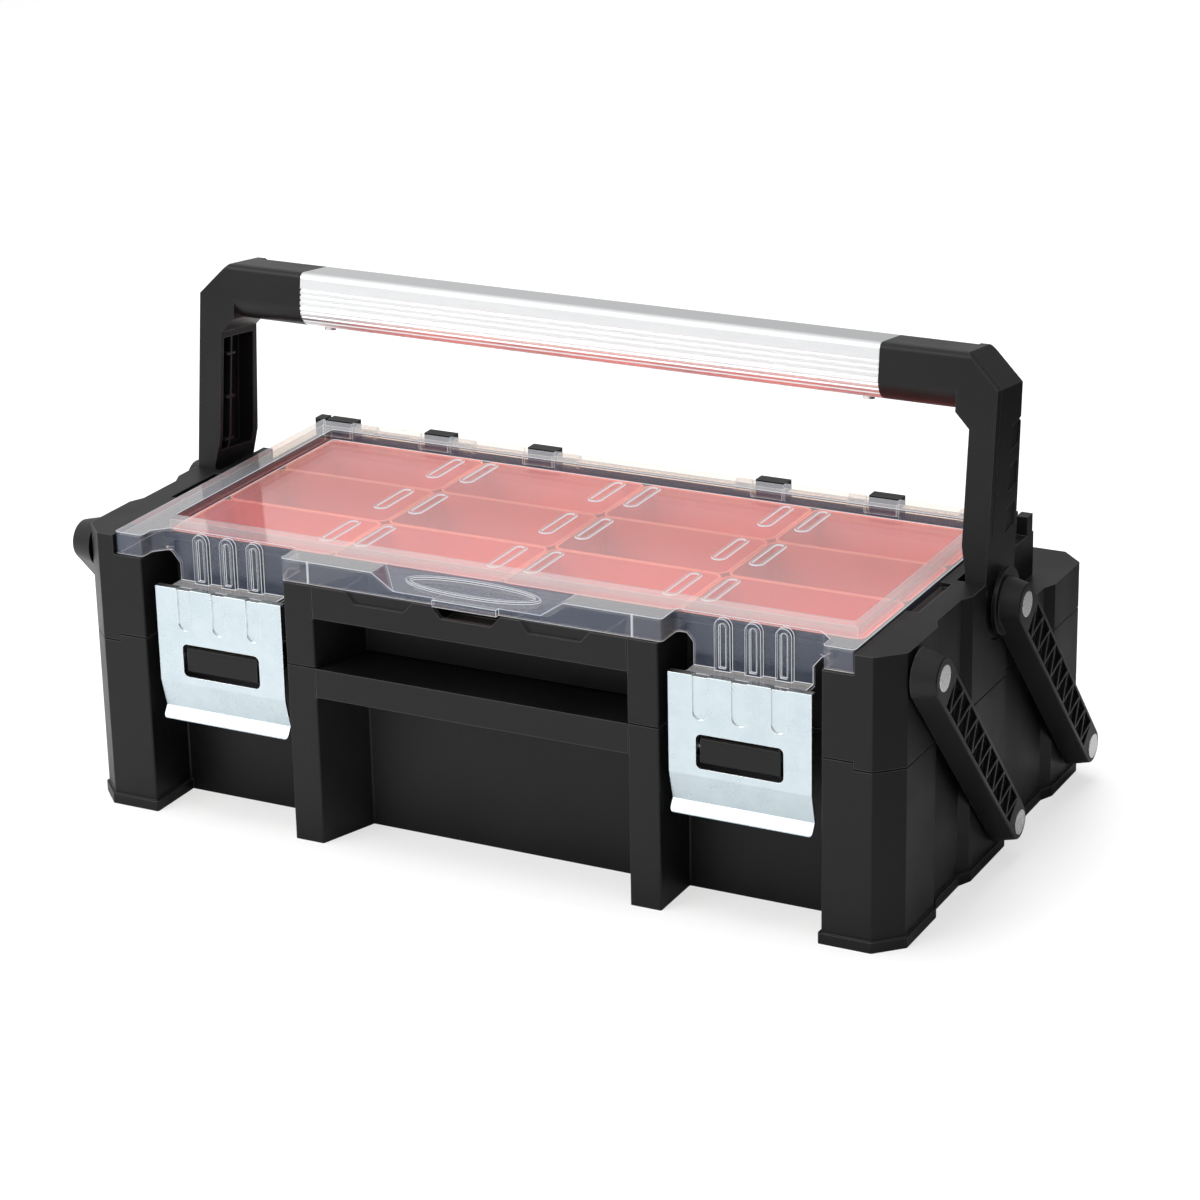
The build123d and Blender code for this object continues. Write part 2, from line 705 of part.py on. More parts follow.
for pair_name, pivot in (("front", pivot_high), ("rear", handle_pivot)):
    for side, side_name in ((-1, "left"), (1, "right")):
        arm_plane = Plane(
            origin=(0, *pivot),
            x_dir=(0, arm_drop[0] / arm_length, arm_drop[1] / arm_length),
            z_dir=(1, 0, 0),
        )
        inner_x = side * arm_inner_face
        outer_x = side * arm_outer_face
        with BuildPart() as link_arm:
            loft([arm_outline(arm_plane.offset(inner_x), arm_spread), arm_outline(arm_plane.offset(outer_x))],
                 ruled=True)
            fillet(link_arm.faces().sort_by(Axis.X)[-1 if side > 0 else 0].edges(), arm_edge_round)
            if pair_name == "front":
                with BuildSketch(arm_plane.offset(side * barrel_end)) as barrel:
                    Circle(barrel_radius)
                extrude(barrel.sketch, amount=side * (arm_inner_face - barrel_end + lap))
            else:
                with BuildSketch(arm_plane.offset(inner_x)) as collar:
                    Circle(collar_radius)
                extrude(collar.sketch, amount=side * collar_depth)
            # Zigzag truss left standing in the panel
            with BuildSketch(arm_plane.offset(outer_x)) as truss:
                add(arm_outline(Plane.XY, -truss_rim))
                with Locations(((truss_start + truss_end) / 2, 0)):
                    Rectangle(truss_end - truss_start, 4 * arm_top_radius, mode=Mode.INTERSECT)
                truss_step = (truss_end - truss_start) / truss_bays
                truss_half = (arm_top_radius + arm_low_radius) / 2 - truss_rim
                for bay in range(truss_bays):
                    rise = truss_half if bay % 2 else -truss_half
                    strut_length = hypot(truss_step, 2 * truss_half) + truss_rim
                    with Locations((truss_start + (bay + 0.5) * truss_step, 0)):
                        Rectangle(strut_length, truss_rib, rotation=degrees(atan2(2 * rise, truss_step)),
                                  mode=Mode.SUBTRACT)
            extrude(truss.sketch, amount=-side * truss_depth, mode=Mode.SUBTRACT)
            with BuildSketch(arm_plane.offset(outer_x)) as sinks:
                with Locations((0, 0), (arm_length, 0)):
                    Circle(rivet_head + running_gap)
            extrude(sinks.sketch, amount=-side * head_sink, mode=Mode.SUBTRACT)
            with BuildSketch(arm_plane.offset(side * (barrel_end - lap))) as bores:
                with Locations((0, 0), (arm_length, 0)):
                    Circle(arm_bore)
            extrude(bores.sketch, amount=outer_x - side * (barrel_end - 2 * lap), mode=Mode.SUBTRACT)
        finish(link_arm.part, f"link_arm_{pair_name}_{side_name}")
        # Headed pins at both ends of the arm
        with BuildPart() as link_rivets:
            with BuildSketch(arm_plane.offset(side * (arm_outer_face - head_sink))) as heads:
                with Locations((0, 0), (arm_length, 0)):
                    Circle(rivet_head)
            extrude(heads.sketch, amount=side * rivet_head_depth)
            with BuildSketch(arm_plane.offset(side * (half_width - rivet_reach))) as shanks:
                with Locations((0, 0), (arm_length, 0)):
                    Circle(rivet_radius)
            extrude(shanks.sketch, amount=side * (arm_outer_face - half_width + rivet_reach))
        finish(link_rivets.part, f"link_rivets_{pair_name}_{side_name}")

# Handle planes: the face plane looks forward and the side plane to the right, both leaning back
lean = radians(handle_lean)
face_plane = Plane(origin=(0, *handle_pivot), x_dir=(1, 0, 0), z_dir=(0, -cos(lean), sin(lean)))
side_plane = Plane(origin=(0, *handle_pivot), x_dir=(0, cos(lean), -sin(lean)), z_dir=(1, 0, 0))
bar_low = bar_top - bar_height
bar_depth = handle_front + bar_rear
bar_middle = ((bar_rear - handle_front) / 2, (bar_top + bar_low) / 2)
corner_end = handle_inner - handle_inner_chamfer
panel_rear = handle_rear_top + panel_spread
screw_x = tube_half - screw_inset


def bar_profile(inset=0.0):
    """Section of the grip bar, shrunk by a distance, with its lower front edge well rounded."""
    with BuildSketch() as profile:
        with Locations(bar_middle):
            Rectangle(bar_depth - 2 * inset, bar_height - 2 * inset)
        low_front = profile.vertices().sort_by(Axis.Y)[:2].sort_by(Axis.X)[0]
        fillet([corner for corner in profile.vertices() if corner != low_front], tube_round - inset / 2)
        low_front = profile.vertices().sort_by(lambda corner: corner.X + corner.Y)[0]
        fillet(low_front, tube_low_round - inset)
    return profile.sketch


# Grip tube: hollow extrusion with fine grooves low on its front
with BuildPart() as handle_tube:
    with BuildSketch(side_plane.offset(-tube_half)):
        add(bar_profile())
        add(bar_profile(tube_wall), mode=Mode.SUBTRACT)
        for groove in range(tube_grooves):
            turn = radians(180 + tube_groove_first + groove * tube_groove_turn)
            groove_x = -handle_front + tube_low_round * (1 + cos(turn))
            groove_y = bar_low + tube_low_round * (1 + sin(turn))
            with Locations((groove_x, groove_y)):
                Rectangle(tube_groove_size, tube_groove_size, rotation=45 + degrees(turn), mode=Mode.SUBTRACT)
        for groove in range(tube_face_grooves):
            groove_y = bar_low + tube_low_round + (groove + 1) * tube_face_pitch
            with Locations((-handle_front, groove_y)):
                Rectangle(tube_groove_size, tube_groove_size, rotation=45, mode=Mode.SUBTRACT)
    extrude(amount=2 * tube_half)
    with BuildSketch(Plane(origin=side_plane.from_local_coords((bar_middle[0], bar_low - lap, 0)),
                           x_dir=(1, 0, 0), z_dir=side_plane.y_dir)):
        with Locations((-screw_x, 0), (screw_x, 0)):
            Circle(screw_radius + running_gap)
    extrude(amount=tube_wall + 2 * lap, mode=Mode.SUBTRACT)
finish(handle_tube.part, "handle_tube")

# Handle corners: one moulding on each side, from the bar down to its hub on the tray's spigot
for side, side_name in ((-1, "left"), (1, "right")):
    with BuildPart() as handle_corner:
        with BuildSketch(face_plane.offset(-handle_rear)) as corner_face:
            with BuildLine():
                Polyline(
                    (side * (tube_half + tube_lap), bar_top),
                    (side * (handle_outer - handle_chamfer), bar_top),
                    (side * handle_outer, bar_top - handle_chamfer),
                    (side * handle_outer, -hub_radius - lap),
                    (side * handle_foot_inner, -hub_radius - lap),
                    (side * handle_foot_inner, handle_foot_low),
                    (side * handle_inner, handle_foot_high),
                    (side * handle_inner, bar_low - handle_inner_chamfer),
                    (side * corner_end, bar_low),
                    (side * (tube_half + tube_lap), bar_low),
                    close=True,
                )
            make_face()
        extrude(corner_face.sketch, amount=handle_front + handle_rear)
        with BuildSketch(side_plane.offset(-handle_outer - lap)) as corner_side:
            with BuildLine():
                Polyline(
                    (-handle_front, bar_top), (-handle_front, hub_radius / 2), (0, 0),
                    (handle_rear, hub_radius / 3), (handle_rear_top, bar_top), close=True,
                )
            make_face()
            fillet(corner_side.vertices().sort_by(Axis.Y)[-2:], tube_round)
            Circle(hub_radius)
        extrude(corner_side.sketch, amount=2 * handle_outer + 2 * lap, mode=Mode.INTERSECT)
        # Beside the tube the moulding is no deeper than the tube, and plugs into it
        low_x, high_x = sorted((side * (tube_half - lap), side * corner_end))
        with BuildSketch(side_plane.offset(low_x)) as step:
            with Locations(bar_middle):
                Rectangle(2 * bar_depth, 2 * bar_height)
            add(bar_profile(), mode=Mode.SUBTRACT)
        extrude(step.sketch, amount=high_x - low_x, mode=Mode.SUBTRACT)
        with BuildSketch(side_plane.offset(side * (tube_half - plug_length))) as plug:
            add(bar_profile(tube_wall + tube_fit))
        extrude(plug.sketch, amount=side * (plug_length + lap))
        # Shadow line round the outside, just behind the front face
        with BuildSketch(face_plane.offset(handle_front - shadow_line_back)) as shadow_line:
            with BuildLine():
                Polyline(
                    (side * (tube_half + lap), bar_top + lap),
                    (side * (handle_outer - handle_chamfer + lap), bar_top + lap),
                    (side * (handle_outer + lap), bar_top - handle_chamfer + lap),
                    (side * (handle_outer + lap), shadow_line_end),
                    (side * (handle_outer - shadow_line_depth), shadow_line_end),
                    (side * (handle_outer - shadow_line_depth), bar_top - handle_chamfer),
                    (side * (handle_outer - handle_chamfer), bar_top - shadow_line_depth),
                    (side * (tube_half + lap), bar_top - shadow_line_depth),
                    close=True,
                )
            make_face()
        extrude(shadow_line.sketch, amount=shadow_line_width, mode=Mode.SUBTRACT)
        # Stepped panels outside and ribbed cells inside
        with BuildSketch(side_plane.offset(side * handle_outer)) as panels:
            for panel_low in panel_places:
                with BuildLine():
                    Polyline(
                        (panel_front, panel_low), (panel_rear, panel_low + panel_rise),
                        (panel_rear, panel_low + panel_height + panel_rise),
                        (panel_front, panel_low + panel_height), close=True,
                    )
                make_face()
        extrude(panels.sketch, amount=-side * panel_depth, mode=Mode.SUBTRACT)
        with BuildSketch(side_plane.offset(side * handle_inner)) as channel:
            channel_top = bar_low - handle_inner_chamfer - channel_margin
            with BuildLine():
                Polyline(
                    (-handle_front + channel_wall, channel_low), (handle_rear - 2 * channel_wall, channel_low),
                    (handle_rear_top - channel_wall + 1, channel_top), (-handle_front + channel_wall, channel_top),
                    close=True,
                )
            make_face()
            fillet(channel.vertices(), channel_round)
            with Locations((channel_rib_place, (channel_low + channel_top) / 2)):
                Rectangle(channel_rib, channel_top - channel_low, mode=Mode.SUBTRACT)
            for cross_rib in range(cross_rib_count):
                with Locations((channel_rib_place, cross_rib_first + cross_rib * cross_rib_pitch)):
                    Rectangle(2 * cross_rib_half, cross_rib_width, mode=Mode.SUBTRACT)
        extrude(channel.sketch, amount=side * channel_depth, mode=Mode.SUBTRACT)
        # Pivot bore, and the hole for the screw under the bar
        with BuildSketch(side_plane.offset(side * (handle_inner - lap))) as bore:
            Circle(boss_radius + running_gap)
        extrude(bore.sketch, amount=side * (handle_outer - handle_inner + 2 * lap), mode=Mode.SUBTRACT)
        with BuildSketch(Plane(origin=side_plane.from_local_coords((bar_middle[0], bar_low, side * screw_x)),
                               x_dir=(1, 0, 0), z_dir=side_plane.y_dir)) as pilot:
            Circle(screw_radius + running_gap)
        extrude(pilot.sketch, amount=screw_length + lap, mode=Mode.SUBTRACT)
    finish(handle_corner.part, f"handle_corner_{side_name}")

# Screws under the bar, one at each end of the tube
with BuildPart() as handle_screws:
    for side in (-1, 1):
        screw_plane = Plane(origin=side_plane.from_local_coords((bar_middle[0], bar_low, side * screw_x)),
                            x_dir=(1, 0, 0), z_dir=side_plane.y_dir)
        with BuildSketch(screw_plane.offset(-screw_head_height)) as screw_head:
            Circle(screw_head_radius)
        extrude(screw_head.sketch, amount=screw_head_height)
        with BuildSketch(screw_plane.offset(-lap)) as screw_shank:
            Circle(screw_radius)
        extrude(screw_shank.sketch, amount=screw_length + lap)
        with BuildSketch(screw_plane.offset(-screw_head_height)) as screw_slot:
            RegularPolygon(screw_radius, 6)
        extrude(screw_slot.sketch, amount=screw_head_height / 2, mode=Mode.SUBTRACT)
finish(handle_screws.part, "handle_screws")

# Latch plates: a bent plate with a window, three beads, and two ears on its pin
for side, side_name in ((-1, "left"), (1, "right")):
    plate_front = front + latch_face
    plate_back = plate_front + latch_sheet
    plate_low = side * latch_centre - latch_width / 2
    with BuildPart() as latch_plate:
        with BuildSketch(Plane.YZ.offset(plate_low)) as bent:
            with BuildLine():
                Polyline(
                    (front + latch_face + latch_flange, latch_top), (plate_front, latch_top),
                    (plate_front, latch_bend), (plate_front + latch_inset, latch_fold),
                    (plate_front, latch_bottom),
                    (plate_back, latch_bottom),
                    (plate_back + latch_inset, latch_fold), (plate_back, latch_bend),
                    (plate_back, latch_top - latch_sheet),
                    (front + latch_face + latch_flange, latch_top - latch_sheet), close=True,
                )
            make_face()
        extrude(bent.sketch, amount=latch_width)
        fillet(latch_plate.edges().filter_by(Axis.X).group_by(Axis.Y)[0], edge_round / 2)
        with BuildSketch(Plane.XZ.offset(-plate_front)) as window:
            with Locations((side * latch_centre, latch_axis_z)):
                RectangleRounded(window_width, window_height, window_corner)
        extrude(window.sketch, amount=-latch_flange, mode=Mode.SUBTRACT)
        with BuildSketch(Plane.XZ.offset(lap - plate_front)) as plate_outline:
            with Locations((side * latch_centre, (latch_top + lap + latch_bottom) / 2)):
                Rectangle(latch_width, latch_top + lap - latch_bottom)
            fillet(plate_outline.vertices().sort_by(Axis.Y)[:2], latch_corner)
        extrude(plate_outline.sketch, amount=-bay_depth, mode=Mode.INTERSECT)
        # Three beads pressed in from the top flange down towards the window
        with BuildSketch(Plane.XZ.offset(lap - plate_front)) as beads:
            bead_round_z = bead_end + bead_width / 2
            for step in (-1, 0, 1):
                with Locations((side * latch_centre + step * bead_pitch, bead_round_z)):
                    Circle(bead_width / 2)
                with Locations((side * latch_centre + step * bead_pitch, (latch_top + lap + bead_round_z) / 2)):
                    Rectangle(bead_width, latch_top + lap - bead_round_z)
        extrude(beads.sketch, amount=-bead_sink - lap, mode=Mode.SUBTRACT)
        with BuildSketch(Plane.XY.offset(latch_top + lap)) as flange_beads:
            for step in (-1, 0, 1):
                with Locations((side * latch_centre + step * bead_pitch, plate_front + latch_flange / 2)):
                    Rectangle(bead_width, latch_flange + 2 * lap)
        extrude(flange_beads.sketch, amount=-bead_sink - lap, mode=Mode.SUBTRACT)
        # Ears beside the latch block
        for ear_side in (-1, 1):
            ear_inner = side * latch_centre + ear_side * (window_width / 2 + ear_gap)
            low_x, high_x = sorted((ear_inner, ear_inner + ear_side * ear_sheet))
            with BuildSketch(Plane.YZ.offset(low_x)) as ear:
                with Locations((plate_back - latch_sheet / 2 + ear_depth / 2, latch_axis_z)):
                    Rectangle(ear_depth + latch_sheet, ear_height)
                with Locations((front + latch_axis_y, latch_axis_z)):
                    Circle(ear_height / 2)
                    Circle(latch_pin_radius + running_gap, mode=Mode.SUBTRACT)
            extrude(ear.sketch, amount=high_x - low_x)
    finish(latch_plate.part, f"latch_plate_{side_name}")
    with BuildPart() as latch_pin:
        pin_half = window_width / 2 + ear_gap + ear_sheet + pin_reach
        x_rod(front + latch_axis_y, latch_axis_z, side * latch_centre - pin_half,
              side * latch_centre + pin_half, latch_pin_radius)
    finish(latch_pin.part, f"latch_pin_{side_name}")
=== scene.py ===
# %% [markdown]
# This is a cantilever storage box: a deep black base, a tray with twelve red bins under a clear
# lid, two pairs of link arms, two bright latches and a bar handle of aluminium between two black
# corners. Its parts come packed from the CAD model, already in place, so this lesson only dresses
# them. We load them first.
# %% Load the parts
import json
import math
import bpy
from mathutils import Matrix, Vector

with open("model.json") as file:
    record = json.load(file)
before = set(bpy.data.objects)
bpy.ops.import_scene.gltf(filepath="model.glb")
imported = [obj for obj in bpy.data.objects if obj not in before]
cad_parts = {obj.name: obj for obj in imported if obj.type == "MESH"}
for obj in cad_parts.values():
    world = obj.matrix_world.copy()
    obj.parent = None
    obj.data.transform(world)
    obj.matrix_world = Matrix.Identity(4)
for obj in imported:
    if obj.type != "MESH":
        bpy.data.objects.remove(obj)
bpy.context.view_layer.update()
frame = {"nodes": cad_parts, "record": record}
parts = frame["nodes"]
MM = 0.001

# %% [markdown]
# A moulded part shows soft edges and smooth round bosses, while its flats stay flat. The loaded
# meshes only need smooth shading with a sharp break wherever two faces meet at more than about
# thirty degrees. The vertices stay where they are, so the shape is the CAD shape.
# %% Shade the round faces smoothly
SHARP = math.radians(28)
for part in parts.values():
    mesh = part.data
    mesh.polygons.foreach_set("use_smooth", [True] * len(mesh.polygons))
    mesh.set_sharp_from_angle(angle=SHARP)
print("smooth shading on", len(parts), "parts")

# %% [markdown]
# The photograph looks down on the box from its right front. The camera stands about two metres
# away with a long lens. Its place, turn and lens were worked out from the box's straight edges,
# so that its corners fall where the photograph has them. The three axes are the camera's own
# right, up and back directions.
# %% Set the camera
scene = bpy.context.scene
STAND = Matrix.Translation((0.9488, -1.8158, 0.8836))
LENS = 107.24
right = Vector((0.891121, 0.453347, -0.019479))
up = Vector((-0.142195, 0.319756, 0.936769))
back = right.cross(up).normalized()
up = back.cross(right).normalized()
camera = bpy.data.objects.new("camera", bpy.data.cameras.new("camera"))
scene.collection.objects.link(camera)
camera.matrix_world = STAND @ Matrix((right, up, back)).transposed().to_4x4()
camera.data.sensor_width = 36
camera.data.lens = LENS
camera.data.clip_end = 60
scene.camera = camera
print("camera at", tuple(STAND.translation), "lens", LENS)

# %% [markdown]
# Colours are written as sRGB hex values, as on a paint chart, but shaders want linear ones, so
# one function turns them. The other one adds a node with its settings and links. A socket is
# called by its name, or by its number where several share one name, as in _0 or _7.
# %% Colours and nodes
COLOURS = {"data_type": "RGBA"}
DOT = {"operation": "DOT_PRODUCT"}


def linear(hex_colour):
    """An sRGB hex colour such as "2b2b2d" as linear values."""
    shares = [int(hex_colour[i:i + 2], 16) / 255 for i in (0, 2, 4)]
    lit = [v / 12.92 if v <= 0.04045 else ((v + 0.055) / 1.055) ** 2.4 for v in shares]
    return (*lit, 1.0)


def put(tree, kind, settings=None, **sockets):
    """Adds one node. A socket takes a value, or another node's output as a link."""
    made = tree.nodes.new(kind)
    for name, value in (settings or {}).items():
        setattr(made, name, value)
    for name, value in sockets.items():
        key = int(name[1:]) if name[0] == "_" else name.replace("_", " ")
        socket = made.inputs[key]
        if isinstance(value, bpy.types.NodeSocket):
            tree.links.new(value, socket)
        else:
            socket.default_value = value
    return made


def fresh_material(name):
    """An empty node material with its output node."""
    made = bpy.data.materials.new(name)
    made.use_nodes = True
    made.node_tree.nodes.clear()
    return made, made.node_tree, put(made.node_tree, "ShaderNodeOutputMaterial")


print("a mid grey is", round(linear("808080")[0], 3), "in linear light")

# %% [markdown]
# How a black box looks is mostly a matter of what its plastic mirrors. The surround is white to
# the camera. To the box it is bright only at the left front and above, and it dims towards the
# right rear, so that the right side of the box stays darker than its front. The view transform
# is the plain one, so white paper stays white.
# %% Surround
scene.view_settings.view_transform = "Standard"
scene.view_settings.look = "None"
BRIGHT_SIDE = Vector((-0.75, -0.38, 0.52)).normalized()
DIMMEST = 0.15
BRIGHTEST = 1.05
surround = bpy.data.worlds.new("surround")
scene.world = surround
surround.use_nodes = True
tree = surround.node_tree
tree.nodes.clear()
sight = put(tree, "ShaderNodeTexCoord").outputs["Generated"]
facing = put(tree, "ShaderNodeVectorMath", DOT, _0=sight, _1=BRIGHT_SIDE)
glow = put(tree, "ShaderNodeMapRange", Value=facing.outputs["Value"], From_Min=-0.55,
           From_Max=0.75, To_Min=DIMMEST, To_Max=BRIGHTEST)
seen = put(tree, "ShaderNodeLightPath").outputs["Is Camera Ray"]
strength = put(tree, "ShaderNodeMix", {"data_type": "FLOAT"}, _0=seen,
               _2=glow.outputs["Result"], _3=1.0)
sky = put(tree, "ShaderNodeBackground", Color=linear("ffffff"), Strength=strength.outputs[0])
tree.links.new(sky.outputs["Background"], put(tree, "ShaderNodeOutputWorld").inputs["Surface"])
print("surround from", DIMMEST, "to", BRIGHTEST)

# %% [markdown]
# Two large soft lights do the rest. The one at the left front gives the direction and shows in
# the gloss. The one above is stronger and only lights: if the lid and its grip mirrored it, they
# would turn white instead of clear.
# %% Soft lights
ON_THE_BOX = (0, 0, 0.12)


def lamp(name, size, power, place, mirrored=True):
    """A square light that looks at the box. One that isn't mirrored shows in no gloss."""
    light = bpy.data.lights.new(name, "AREA")
    light.size = size
    light.energy = power
    made = bpy.data.objects.new(name, light)
    made.location = place
    sight_line = Vector(ON_THE_BOX) - Vector(place)
    made.rotation_euler = sight_line.to_track_quat("-Z", "Y").to_euler()
    made.visible_glossy = mirrored
    scene.collection.objects.link(made)
    print(name, size, "m wide,", power, "W")


lamp("key_light", 1.5, 22, (-1.3, -1.7, 1.9))
lamp("top_light", 1.6, 62, (-0.3, 0.2, 2.3), mirrored=False)

# %% [markdown]
# The box stands on a sheet of white paper that reaches past the view on all sides. Seen by the
# camera, part of its light is its own, so that it stays white and still takes a soft shadow. Seen
# in the sides of the box, its colour is painted darker towards the right rear, a painted shade
# that follows the dimmer surround. The tooth of such paper is under a millimetre wide. It is
# drawn at four, and very shallow.
# %% White paper
FLOOR_HALF = 9.0
PAPER_GLOW = 0.62
PAPER_TOOTH = 4 * MM
corners = [(-FLOOR_HALF, -FLOOR_HALF, 0), (FLOOR_HALF, -FLOOR_HALF, 0),
           (FLOOR_HALF, FLOOR_HALF, 0), (-FLOOR_HALF, FLOOR_HALF, 0)]
floor_mesh = bpy.data.meshes.new("floor")
floor_mesh.from_pydata(corners, [], [(0, 1, 2, 3)])
floor = bpy.data.objects.new("floor", floor_mesh)
scene.collection.objects.link(floor)
floor_paper, tree, output = fresh_material("white_paper_sweep")
place = put(tree, "ShaderNodeTexCoord").outputs["Object"]
tooth = put(tree, "ShaderNodeTexNoise", Vector=place, Scale=1 / PAPER_TOOTH, Detail=2.0)
relief = put(tree, "ShaderNodeBump", Strength=0.03, Distance=0.1 * MM,
             Height=tooth.outputs["Fac"])
shade = put(tree, "ShaderNodeVectorMath", DOT, _0=place, _1=-BRIGHT_SIDE)
dim = put(tree, "ShaderNodeMapRange", Value=shade.outputs["Value"], From_Min=0.02, From_Max=0.60)
# Painted shade: as mirrored in the box, the paper's colour darkens towards the right rear.
tint = put(tree, "ShaderNodeMix", COLOURS, _0=dim.outputs["Result"], _6=linear("e2e2e2"),
           _7=linear("3a3a3a"))
paper = put(tree, "ShaderNodeBsdfDiffuse", Color=tint.outputs[2],
            Normal=relief.outputs["Normal"])
white = put(tree, "ShaderNodeBsdfDiffuse", Color=linear("f8f8f8"),
            Normal=relief.outputs["Normal"])
glowing = put(tree, "ShaderNodeEmission", Color=linear("ffffff"), Strength=1.0)
lit_paper = put(tree, "ShaderNodeMixShader", _0=PAPER_GLOW, _1=white.outputs["BSDF"],
                _2=glowing.outputs["Emission"])
seen = put(tree, "ShaderNodeLightPath").outputs["Is Camera Ray"]
either = put(tree, "ShaderNodeMixShader", _0=seen, _1=paper.outputs["BSDF"],
             _2=lit_paper.outputs["Shader"])
tree.links.new(either.outputs["Shader"], output.inputs["Surface"])
floor_mesh.materials.append(floor_paper)
print("paper floor", 2 * FLOOR_HALF, "m wide")

# %% [markdown]
# Most of what tells a moulded or pressed part from a drawing of it is at its edges: they are
# rounded by about half a millimetre and catch the lamp. Cycles can round the shading of an edge
# without touching the mesh. Where the rounded normal leaves the plain one we are at an edge, and
# that difference is the mask for painted edge highlights and glow, on the plastics also for some
# rubbed wear. The mask is 0 where the dot product of the two normals is above start, and 1 where
# it is below full.
# %% Rounded edges and their mask
EDGE_START = 0.995
EDGE_FULL = 0.90


def edges(tree, radius, start=EDGE_START, full=EDGE_FULL):
    """The rounded normal, and a mask that is 1 at the part's edges and 0 on its flats."""
    rounded = put(tree, "ShaderNodeBevel", {"samples": 8}, Radius=radius).outputs["Normal"]
    plain = put(tree, "ShaderNodeNewGeometry").outputs["Normal"]
    turn = put(tree, "ShaderNodeVectorMath", DOT, _0=rounded, _1=plain)
    mask = put(tree, "ShaderNodeMapRange", Value=turn.outputs["Value"], From_Min=start,
               From_Max=full)
    return rounded, mask.outputs["Result"]


print("edge mask starts at", round(math.degrees(math.acos(EDGE_START)), 1), "degrees of turn")

# %% [markdown]
# The base and the tray are injection moulded polypropylene, black all through, and the bins are
# the same plastic in red. The link arms and handle corners carry the load, so they are nylon. The
# tool was spark eroded, so the faces carry a fine even grain that takes the shine down to a soft
# glow. One function makes them all: a fine grain in the relief, a slow drift in the gloss where
# hands and boxes have rubbed it, and lighter edges, which are a painted highlight with some wear.
# Real grain is about 0.15 mm, too fine to show at this distance, so it is drawn at 0.7 mm and
# very shallow. Black plastic mirrors about two hundredths of the light, which is most of what we
# see.
# %% Moulded plastics
GRAIN = 0.7 * MM
EDGE = 0.7 * MM
HANDLING = 70 * MM
PLASTIC_IOR = 1.49


def moulded_plastic(name, dark, light, edge_highlight_and_wear, rough_low, rough_high, grain_depth, shine=0.3):
    """Grained moulded plastic with a drift in colour and gloss, and painted edge highlights with
    wear.
    """
    made, tree, output = fresh_material(name)
    place = put(tree, "ShaderNodeTexCoord").outputs["Object"]
    drift = put(tree, "ShaderNodeTexNoise", Vector=place, Scale=1 / HANDLING, Detail=3.0,
                Roughness=0.55)
    speck = put(tree, "ShaderNodeTexNoise", Vector=place, Scale=1 / GRAIN, Detail=2.0,
                Roughness=0.6)
    tone = put(tree, "ShaderNodeMapRange", Value=drift.outputs["Fac"], From_Min=0.35,
               From_Max=0.65)
    fleck = put(tree, "ShaderNodeMath", {"operation": "MULTIPLY_ADD"}, _0=speck.outputs["Fac"],
                _1=0.35, _2=tone.outputs["Result"])
    body = put(tree, "ShaderNodeMix", COLOURS, _0=fleck.outputs[0], _6=linear(dark),
               _7=linear(light))
    rounded, rim = edges(tree, EDGE)
    # Painted highlight with some wear: the edges take a lighter colour than the body.
    colour = put(tree, "ShaderNodeMix", COLOURS, _0=rim, _6=body.outputs[2], _7=linear(edge_highlight_and_wear))
    rough = put(tree, "ShaderNodeMapRange", Value=fleck.outputs[0], To_Min=rough_low,
                To_Max=rough_high)
    relief = put(tree, "ShaderNodeBump", Strength=1.0, Distance=grain_depth,
                 Height=speck.outputs["Fac"], Normal=rounded)
    plastic = put(tree, "ShaderNodeBsdfPrincipled", Base_Color=colour.outputs[2],
                  Roughness=rough.outputs["Result"], IOR=PLASTIC_IOR,
                  Specular_IOR_Level=shine, Normal=relief.outputs["Normal"])
    tree.links.new(plastic.outputs["BSDF"], output.inputs["Surface"])
    print(name, "with", len(tree.nodes), "nodes")
    return made


# The third colour of each is its lighter edge: a painted highlight and some wear.
black_polypropylene = moulded_plastic("black_moulded_polypropylene", "0a0a0b", "121213",
                                      "48484c", 0.38, 0.50, 0.03 * MM, shine=0.26)
arm_nylon = moulded_plastic("black_moulded_nylon", "0c0c0d", "151516", "404044", 0.34, 0.46,
                            0.02 * MM)
red_polypropylene = moulded_plastic("red_moulded_polypropylene", "e65a46", "f06c57", "ffac9f",
                                    0.34, 0.44, 0.01 * MM, shine=0.4)

# %% [markdown]
# The lid is clear plastic, about two millimetres thick. Its window is polished and the frame
# round it lightly frosted, as the two halves of the tool were finished, so the first half of its
# material works out where we are: how far from the window's middle, and how level the face is.
# From that comes how milky the sheet is: least on the walls and most on the frame's flats.
# %% Where the lid is frosted
WINDOW_MIDDLE = (0, -17.0 * MM, 0)
WINDOW_HALF_X = 224.4 * MM
WINDOW_HALF_Y = 92.8 * MM
WALL_FROST = 0.12
WINDOW_FROST = 0.13
FRAME_FROST = 0.19
lid_plastic, tree, output = fresh_material("clear_moulded_polycarbonate")
place = put(tree, "ShaderNodeTexCoord").outputs["Object"]
offset = put(tree, "ShaderNodeVectorMath", {"operation": "SUBTRACT"}, _0=place,
             _1=WINDOW_MIDDLE)
distance = put(tree, "ShaderNodeVectorMath", {"operation": "ABSOLUTE"},
               _0=offset.outputs["Vector"])
across = put(tree, "ShaderNodeSeparateXYZ", Vector=distance.outputs["Vector"])
beside = put(tree, "ShaderNodeMath", {"operation": "GREATER_THAN"}, _0=across.outputs["X"],
             _1=WINDOW_HALF_X)
ahead = put(tree, "ShaderNodeMath", {"operation": "GREATER_THAN"}, _0=across.outputs["Y"],
            _1=WINDOW_HALF_Y)
framing = put(tree, "ShaderNodeMath", {"operation": "MAXIMUM"}, _0=beside.outputs[0],
              _1=ahead.outputs[0])
outward = put(tree, "ShaderNodeTexCoord").outputs["Normal"]
upward = put(tree, "ShaderNodeSeparateXYZ", Vector=outward).outputs["Z"]
flatness = put(tree, "ShaderNodeMapRange", Value=upward, From_Min=0.92, From_Max=0.98)
